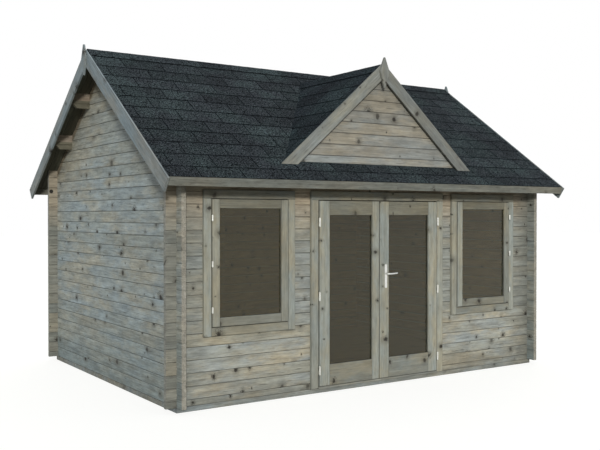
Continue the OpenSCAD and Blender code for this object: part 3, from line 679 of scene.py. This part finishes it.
steep = math.radians(41)
steep_fall, steep_level = math.sin(steep), math.cos(steep)
dormer_ridge, dormer_front, dormer_back = 3.2261, -1.687, -0.05
panel_row, panel_gap, panel_ease, panel_drop = 0.1135, 0.0008, 0.0045, 0.0324
first_joint, least_row, panel_sink, panel_blunt = 2.2925, 0.02, 0.004, 0.004
valley_lift, shingle_sink, barge_proud, dormer_rise = 0.004, 0.002, 0.014, 0.069


def roof_height(y):
    """The shingled surface of the front slope."""
    return shingle_ridge + y * math.tan(pitch)


def finished(name, bm):
    """Turns a mesh in progress into a mesh."""
    mesh = bpy.data.meshes.new(name)
    bm.to_mesh(mesh)
    bm.free()
    return mesh


# Paler wood under the dormer's overhang, each board painted a little darker than the one below as painted
# shade of the bargeboards
panel_wood = weathered_wood(
    "weathered_dormer_panel", "#8c8f8c", "#908d84", "#989080", knots=0.75, contrast=0.8)
peak = dormer_ridge - panel_drop
z0, joint = roof_height(-wall_y - trim_thick) - panel_sink, first_joint
boards = []
while z0 < peak - least_row:
    z1 = min(joint, peak - panel_blunt)
    half0, half1 = (peak - z0) / math.tan(steep), (peak - z1) / math.tan(steep)
    outline = [(-half0, 0), (half0, 0), (half1, z1 - z0), (-half1, z1 - z0)]
    # Painted shade: each board higher up under the bargeboards is a little darker
    boards.append((outline, trim_thick, (0, -wall_y, z0), X, Z, 1.05 - 0.026 * len(boards)))
    z0, joint = z1 + panel_gap, joint + panel_row
timber("dormer_panel_boards", "house", "dormer_panel", panel_wood, boards, panel_ease)

# The same stain on the dormer's boards
stained_boards = weathered_wood("stained_dormer_boards", *stain, "x", knots=0.4, cut=None)
dress(stained_boards, "dormer_roof_boards")

# Both slopes are cut off where they meet the main roof
bm = bmesh.new()
for side in (-1, 1):
    bm.from_mesh(shingled(
        "dormer_slope", (0, 0, dormer_ridge), Y, (side * steep_level, 0, -steep_fall),
        (dormer_front, dormer_back), first=0.115, foot=1.62, start=-1.52, seed=11 + side,
        exposure=0.2125))
bmesh.ops.bisect_plane(
    bm, geom=bm.verts[:] + bm.edges[:] + bm.faces[:], plane_no=(0, -fall, level),
    plane_co=(0, 0, shingle_ridge - shingle_sink), clear_inner=True)
mesh = finished("dormer_shingle_courses", bm)

# Darker granules on the dormer's slopes
dark_granules = granules("bitumen_granules_dark", "#282d31", "#272f31")
place("dormer_shingle_courses", mesh, "house", "dormer_shingles", dark_granules)

valley = (dormer_ridge + valley_lift - shingle_ridge) / math.tan(pitch)
mesh = capped(
    "dormer_cap_strips", (0, 0, dormer_ridge + cap_seat), Y, X, steep, (dormer_front, valley), 6)
place("dormer_cap_strips", mesh, "house", "dormer_ridge_capping", dark_granules)

# Greyer trim with more knots
dormer_trim = weathered_wood(
    "weathered_dormer_trim", "#838784", "#868680", "#8b887b", knots=0.95, contrast=0.8)
barge = 0.120
board_ridge = dormer_ridge + barge_proud / steep_level
drop = board_ridge - roof_height(dormer_front - trim_thick)
u_top, u_low = drop / steep_fall, (drop - barge * steep_level) / steep_fall
outline = [(mitre_gap, 0), (u_top, 0), (u_low, barge), (barge * math.tan(steep), barge)]
trim_back = dormer_front - fit
boards = []
for side, y, tone in ((1, trim_back - trim_thick, 0.88), (-1, trim_back, 1.0)):
    along, across = (side * steep_level, 0, -steep_fall), (-side * steep_fall, 0, -steep_level)
    boards.append((outline, trim_thick, (side * mitre_gap, y, board_ridge), along, across, tone))
timber("dormer_verge_boards", "house", "dormer_bargeboards", dormer_trim, boards)
origin = (0, trim_back - fit - 2 * trim_thick, dormer_ridge + dormer_rise)
boards = [(diamond, trim_thick, origin, (0, 0, -1), (-1, 0, 0))]
timber("dormer_diamond", "house", "dormer_finial", dormer_trim, boards)


# Windows
# A frame sits in each opening of the wall and casing boards 77 mm wide cover the joint, the
# head board over the uprights. The sash, 40 mm thick, is stiles and rails round one pane.

def lying(depth, x0, x1, z0, z1, tone=1.0):
    """A board along X, between two depths, with its width to the front."""
    return strip(x1 - x0, z1 - z0), depth[1] - depth[0], (x0, depth[1], z0), X, Z, tone


def upright(depth, x0, x1, z0, z1, tone=1.0):
    """A board along Z, between two depths, with its width to the front."""
    return strip(z1 - z0, x1 - x0), depth[1] - depth[0], (x0, depth[0], z0), Z, X, tone


casing_y, sash_y = (-1.664, -1.6403), (-1.670, -1.630)
window_places = (-1.5173, 1.4627)
sash_half, sash_foot, sash_head = 0.399, 0.7243, 1.858
sash_stile, sash_rail, sash_gap, window_casing = 0.075, 0.081, 0.006, 0.077
# Sides of sash and leaf members are darkened by dirt and painted shade
member_grime_and_shade = 0.3

# Joinery wood, planed smooth and paler than the logs
joinery = weathered_wood(
    "weathered_joinery", "#939893", "#97968a", "#a09985", knots=0.85, relief=0.7, contrast=0.65)
inner, pane = sash_half + sash_gap, sash_half - sash_stile
outer = inner + window_casing
sill, lintel = sash_foot - sash_gap, sash_head + sash_gap
casings, sashes = [], []
for cx in window_places:
    for x0 in (cx - outer, cx + inner):
        casings.append(upright(casing_y, x0, x0 + window_casing, sill - window_casing, lintel - fit))
    casings.append(lying(casing_y, cx - inner + fit, cx + inner - fit, sill - window_casing, sill, 0.82))
    casings.append(lying(casing_y, cx - outer, cx + outer, lintel, lintel + window_casing, 0.74))
    for x0, tone in ((cx - sash_half, 1.0), (cx + pane, 0.86)):
        sashes.append(upright(sash_y, x0, x0 + sash_stile, sash_foot, sash_head, tone))
    for z0, tone in ((sash_foot, 0.76), (sash_head - sash_rail, 0.58)):
        sashes.append(lying(sash_y, cx - pane + fit, cx + pane - fit, z0, z0 + sash_rail, tone))
timber("window_casing_boards", "house", "window_casings", joinery, casings)
timber(
    "window_sash_members", "house", "window_sashes", joinery, sashes, grime_and_shade=member_grime_and_shade)

# Frames of browner wood, in the shelter of the casings
frame_wood = weathered_wood("weathered_frames", "#85867d", "#88857a", "#8c8372", "x", knots=0.2)
dress(frame_wood, "window_frames", "door_frame")


def clear_glass(name, body):
    """Window glass with a faint warm grey body."""
    material, tree = new_material(name)
    ripple = add(tree, "TexNoise", Vector=add(tree, "TexCoord", out="Object"), Scale=3.0, Detail=1.0)
    normal = add(tree, "Bump", Height=ripple, Strength=0.02, Distance=0.002)
    return surfaced(
        material, Base_Color=linear(body), Normal=normal, Roughness=0.02, IOR=1.5,
        Transmission_Weight=1.0, Specular_Tint=linear("#fffbe6"))


# Float glass, and the thicker toughened glass of the doors
dress(clear_glass("float_glass", "#b9b49c"), "window_glass")
dress(clear_glass("toughened_glass", "#a8a48f"), "left_door_glass", "right_door_glass")


# Hinges
# Zinc-plated steel barrels on folded plates, three to a sash or leaf. A door hinge has its pin
# in the lower barrel, on the frame, and the upper barrel turns on it with the leaf.

def bright_metal(name, code, roughness):
    """Plated or brushed metal with faint stains."""
    material, tree = new_material(name)
    spot = add(tree, "TexCoord", out="Object")
    stain = add(tree, "TexNoise", Vector=spot, Scale=90.0, Detail=3.0)
    stain = remap(tree, stain, 0.35, 0.7, 0.86, 1.04)
    colour = add(tree, "MixRGB", 1.0, linear(code), stain, blend_type="MULTIPLY")
    brushed = drawn_noise(tree, spot, (600.0, 600.0, 30.0))
    rough = remap(tree, brushed, 0.3, 0.7, roughness - 0.06, roughness + 0.06)
    normal = add(tree, "Bump", Height=brushed, Strength=0.1, Distance=0.0003)
    return surfaced(material, Base_Color=colour, Metallic=1.0, Roughness=rough, Normal=normal)


def bridge(bm, rings, sides):
    """Adds faces between rings or single points."""
    for low, high in zip(rings, rings[1:]):
        for k in range(sides):
            n = (k + 1) % sides
            corners = (low[k % len(low)], low[n % len(low)], high[n % len(high)], high[k % len(high)])
            bm.faces.new(list(dict.fromkeys(corners)))


def turned(bm, profile, centre, sides=24):
    """Adds a turned form with its axis along Z: radius and height pairs from the foot up."""
    rings = []
    for radius, height in profile:
        ring = []
        for k in range(sides if radius else 1):
            angle = 2 * math.pi * k / sides
            arm = Vector((radius * math.cos(angle), radius * math.sin(angle), height))
            ring.append(bm.verts.new(Vector(centre) + arm))
        rings.append(ring)
    bridge(bm, rings, sides)


def join(bm, part, shift=(0, 0, 0)):
    """Copies a part into a mesh in progress and frees it."""
    part.verts.index_update()
    verts = [bm.verts.new(vert.co + Vector(shift)) for vert in part.verts]
    for face in part.faces:
        bm.faces.new([verts[vert.index] for vert in face.verts])
    part.free()


def finish_metal(name, bm, body, node, material):
    """Turns a mesh in progress into a smooth piece."""
    bmesh.ops.recalc_face_normals(bm, faces=bm.faces)
    mesh = finished(name, bm)
    mesh.shade_smooth()
    mesh.set_sharp_from_angle(angle=math.radians(35))
    place(name, mesh, body, node, material)


# Zinc plating on steel
zinc = bright_metal("zinc_plating", "#dcdcd6", 0.38)
barrel, neck, pin, pin_length = 0.008, 0.0074, 0.004, 0.035
ease = barrel - neck
hinge_y, flap_front, flap_back, flap_ease = -1.681, 0.004, 0.040, 0.0004
flap_near, flap_far, window_flap = 0.0013, 0.0037, 0.0026
window_hinge, knuckle, knuckle_gap = 0.023, 0.0074, 0.0006
door_hinge, door_hinge_x, door_hinge_gap = 0.038, 0.764, 0.0005
door_hinge_heights = (0.223, 0.935, 1.647)


def flap(bm, x0, x1, z0, z1):
    """Adds a hinge's plate with eased edges, back from its barrel."""
    low = (min(x0, x1), hinge_y + flap_front, z0)
    high = (max(x0, x1), hinge_y + flap_back, z1)
    part = bmesh.new()
    bmesh.ops.create_cube(part, size=1.0)
    for vert in part.verts:
        vert.co = [l + (h - l) * (c + 0.5) for l, h, c in zip(low, high, vert.co)]
    bmesh.ops.bevel(part, geom=part.edges[:], offset=flap_ease, segments=2, profile=0.6, affect="EDGES")
    join(bm, part)


def button(z, way):
    """The rounded end of a barrel, from its middle outwards."""
    profile = [(barrel, 0.0), (barrel, 0.0012), (0.0062, 0.0024), (0.0062, 0.0034)]
    profile += [(0.0050, 0.0052), (0.0, 0.0062)]
    return [(r, z + way * h) for r, h in profile]


low_hinge, high_hinge = sash_foot + 0.151, sash_head - 0.167
bm = bmesh.new()
for cx, side in zip(window_places, (-1, 1)):
    x = cx + side * (sash_half + sash_gap / 2)
    centre = (x, hinge_y, 0)
    for z in (low_hinge, (low_hinge + high_hinge) / 2, high_hinge):
        foot, head = z - window_hinge, z + window_hinge
        low_cut, high_cut = z - knuckle, z + knuckle
        for z0, z1 in ((foot, low_cut - knuckle_gap), (low_cut, high_cut), (high_cut + knuckle_gap, head)):
            profile = [(0.0, z0), (neck, z0), (barrel, z0 + ease), (barrel, z1 - ease), (neck, z1), (0.0, z1)]
            turned(bm, profile, centre)
        turned(bm, [(0.0, head)] + button(head, 1), centre)
        turned(bm, button(foot, -1)[::-1] + [(0.0, foot)], centre)
        flap(bm, x - window_flap, x + window_flap, foot, head)
finish_metal("window_barrel_hinges", bm, "house", "window_hinges", zinc)

bm = bmesh.new()
for side in (-1, 1):
    x = side * door_hinge_x
    for z in door_hinge_heights:
        foot = z - door_hinge
        profile = button(foot, -1)[::-1] + [(barrel, foot - ease), (barrel, z - 0.0008), (neck, z)]
        profile += [(pin, z), (pin, z + pin_length), (0.0, z + pin_length)]
        turned(bm, profile, (x, hinge_y, 0))
        flap(bm, x + side * flap_near, x + side * flap_far, foot, z)
finish_metal("door_hinge_lower_barrels", bm, "house", "door_hinge_pins", zinc)

for name, body, node, side in (
        ("left_door_upper_barrels", "left_door", "left_door_hinges", -1),
        ("right_door_upper_barrels", "right_door", "right_door_hinges", 1)):
    bm = bmesh.new()
    x = side * door_hinge_x
    for z in door_hinge_heights:
        foot, head = z + door_hinge_gap, z + door_hinge
        profile = [(pin + 0.0001, foot), (neck, foot), (barrel, z + 0.0012)] + button(head, 1)
        turned(bm, profile, (x, hinge_y, 0))
        flap(bm, x - side * flap_near, x - side * flap_far, foot, head)
    finish_metal(name, bm, body, node, zinc)


# Door casing and leaves
# Casing boards 84 mm wide frame the doorway. Each leaf, 42 mm thick, is two stiles with a top
# rail and a deep bottom rail round a tall pane. They meet 22 mm left of the middle.

door_half, jamb_gap, door_casing, casing_foot = 0.760, 0.008, 0.084, 0.050
leaf_y, leaf_foot, leaf_head = (-1.670, -1.628), 0.068, 1.854
bottom_rail, top_rail = 0.204, 0.138
hinge_stile, left_meeting, right_meeting = 0.121, 0.088, 0.120
left_edge, right_edge = -0.0255, -0.0185
inner = door_half + jamb_gap
outer = inner + door_casing
lintel = leaf_head + jamb_gap
casings = [lying(casing_y, -outer, outer, lintel, lintel + door_casing, 0.80)]
for x0, tone in ((-outer, 0.92), (inner, 1.15)):
    casings.append(upright(casing_y, x0, x0 + door_casing, casing_foot, lintel - fit, tone))
timber("door_casing_boards", "house", "door_casing", joinery, casings)

for name, body, node, x0, x1, x2, x3 in (
        ("left_door_members", "left_door", "left_door_leaf",
         -door_half, hinge_stile - door_half, left_edge - left_meeting, left_edge),
        ("right_door_members", "right_door", "right_door_leaf",
         right_edge, right_edge + right_meeting, door_half - hinge_stile, door_half)):
    members = [
        upright(leaf_y, x0, x1, leaf_foot, leaf_head),
        upright(leaf_y, x2, x3, leaf_foot, leaf_head),
        lying(leaf_y, x1 + fit, x2 - fit, leaf_foot, leaf_foot + bottom_rail, 0.78),
        lying(leaf_y, x1 + fit, x2 - fit, leaf_head - top_rail, leaf_head, 0.64),
    ]
    timber(name, body, node, joinery, members, grime_and_shade=member_grime_and_shade)


# Handle
# Long plates of satin aluminium with round ends, screwed through the meeting stile of the right
# leaf, and a lever on each side of the spindle.

def rounded_plate(bm, y0, y1, half, up, down):
    """Adds an upright plate with round ends and eased edges between two distances along Y."""
    ring = []
    for centre, start in ((up - half, 0.0), (half - down, math.pi)):
        for k in range(17):
            angle = start + math.pi * k / 16
            x, z = half * math.cos(angle), centre + half * math.sin(angle)
            ring.append((handle_x + x, y0, handle_z + z))
    part = prism(ring, (0, y1 - y0, 0))
    rims = [edge for edge in part.edges if abs(edge.verts[0].co.y - edge.verts[1].co.y) < 1e-7]
    bmesh.ops.bevel(part, geom=rims, offset=plate_ease, segments=3, profile=0.5, affect="EDGES")
    join(bm, part)


# Satin aluminium, brushed upright
satin = bright_metal("satin_aluminium", "#e4e4e0", 0.30)
handle_x, handle_z = right_edge + 0.077, 1.123
plate_thick, plate_half, plate_up, plate_down = 0.008, 0.015, 0.096, 0.146
screw_inset, plate_ease = 0.020, 0.002
screw = [(0.0, 0.0), (0.0042, 0.0), (0.0036, 0.0012), (0.0, 0.0017)]
front_face, rear_face = leaf_y[0] - fit - plate_thick, leaf_y[1] + fit + plate_thick

bm = bmesh.new()
for y0, face, out in ((front_face, front_face, -1), (rear_face - plate_thick, rear_face, 1)):
    rounded_plate(bm, y0, y0 + plate_thick, plate_half, plate_up, plate_down)
    for dz in (plate_up - screw_inset, screw_inset - plate_down):
        part = bmesh.new()
        turned(part, screw, (0, 0, 0), 16)
        bmesh.ops.rotate(part, verts=part.verts, matrix=Matrix.Rotation(out * -math.pi / 2, 3, "X"))
        join(bm, part, (handle_x, face, handle_z + dz))
finish_metal("handle_long_plates", bm, "right_door", "door_handle_plates", satin)


def swept(bm, path, radii, sides=20):
    """Adds a round bar along a path of points in one plane, closed at both ends."""
    rings = []
    for k, (point, radius) in enumerate(zip(path, radii)):
        ahead = path[min(k + 1, len(path) - 1)] - path[max(k - 1, 0)]
        first = ahead.cross(Vector(Z)).normalized()
        second = ahead.cross(first).normalized()
        rings.append([
            bm.verts.new(point + radius * (first * math.cos(a) + second * math.sin(a)))
            for a in (2 * math.pi * i / sides for i in range(sides))])
    bridge(bm, rings, sides)
    bm.faces.new(rings[0])
    bm.faces.new(rings[-1])


# A lever leaves its rose straight, bends to the side and rises a little
rose, grip, taper, spindle = 0.0105, 0.0085, 0.0008, 0.005
stem, bend, lever_length, lever_rise = 0.020, 0.017, 0.100, 0.004
bm = bmesh.new()
for face, out in ((front_face, -1), (rear_face, 1)):
    path, radii = [], []
    for t, radius in ((0.0, rose), (0.006, rose), (0.012, grip), (stem, grip)):
        path.append((0, t, 0))
        radii.append(radius)
    for k in range(1, 9):
        angle = math.pi / 2 * k / 8
        path.append((bend * (1 - math.cos(angle)), stem + bend * math.sin(angle), 0))
        radii.append(grip)
    for k in range(1, 12):
        t = k / 11
        path.append((bend + lever_length * t, stem + bend, lever_rise * t * t))
        radii.append(grip - taper * t)
    for radius, t in ((0.0070, 0.002), (0.0052, 0.0042), (0.0024, 0.0056)):
        path.append((bend + lever_length + t, stem + bend, lever_rise))
        radii.append(radius)
    start = Vector((handle_x, face, handle_z))
    swept(bm, [start + Vector((x, out * y, z)) for x, y, z in path], radii)
path = [Vector((handle_x, y, handle_z)) for y in (-1.69, -1.66, -1.64, -1.61)]
swept(bm, path, [spindle] * len(path))
finish_metal("handle_levers", bm, "lever", "door_lever", satin)


# Stage
# A pale floor that looks white and keeps the shadow, soft daylight from a low lamp in front and a
# wide dim sky round it. A second lamp fills the back.

def seen_rays(tree):
    """1 for rays that are seen: straight, mirrored or through glass."""
    path = add(tree, "LightPath").node.outputs
    seen = add(tree, "Math", path["Is Camera Ray"], path["Is Glossy Ray"], operation="MAXIMUM")
    return add(tree, "Math", seen, path["Is Transmission Ray"], operation="MAXIMUM")


def sunlight(name, energy, width, towards, code="#ffffff"):
    """A distant lamp, its width in degrees, shining in a direction."""
    lamp = bpy.data.lights.new(name, "SUN")
    lamp.energy = energy
    lamp.angle = math.radians(width)
    lamp.color = linear(code)[:3]
    sun = new_object(name, lamp)
    sun.rotation_euler = Vector(towards).to_track_quat("-Z", "Y").to_euler()


# Matt pale floor with a glow of its own
pale_floor, tree = new_material("pale_floor")
matt = add(tree, "BsdfDiffuse", Color=linear("#9a988f"))
glow = add(tree, "Emission", Color=linear("#ffffff"), Strength=times(tree, seen_rays(tree), 0.80))
add(tree, "OutputMaterial", add(tree, "AddShader", matt, glow))
bm = bmesh.new()
bmesh.ops.create_grid(bm, x_segments=4, y_segments=4, size=60.0)
mesh = finished("stage_floor", bm)
mesh.materials.append(pale_floor)
floor = new_object("stage_floor", mesh)
floor.location.z = -0.001

world = bpy.data.worlds.new("studio")
bpy.context.scene.world = world
world.use_nodes = True
tree = world.node_tree
tree.nodes.clear()
seen = seen_rays(tree)
sky = add(tree, "MixRGB", seen, linear("#e4ecf6"), linear("#ffffff"))
strength = remap(tree, seen, 0.0, 1.0, 0.62, 1.0)
add(tree, "OutputWorld", add(tree, "Background", sky, strength))

sunlight("daylight", 2.1, 7, (0.45, 0.85, -0.27), "#fffffa")
sunlight("back_fill", 0.9, 60, (-0.6, -0.75, -0.45))

camera = bpy.data.cameras.new("camera")
camera.sensor_width = 36.0
camera.lens = 50.29
eye = new_object("camera", camera)
eye.location = (-5.3906, -8.2375, 1.7181)
eye.rotation_euler = (math.pi / 2 - 0.0121, 0.0, -0.5908)
bpy.context.scene.camera = eye
bpy.context.scene.view_settings.view_transform = "Standard"
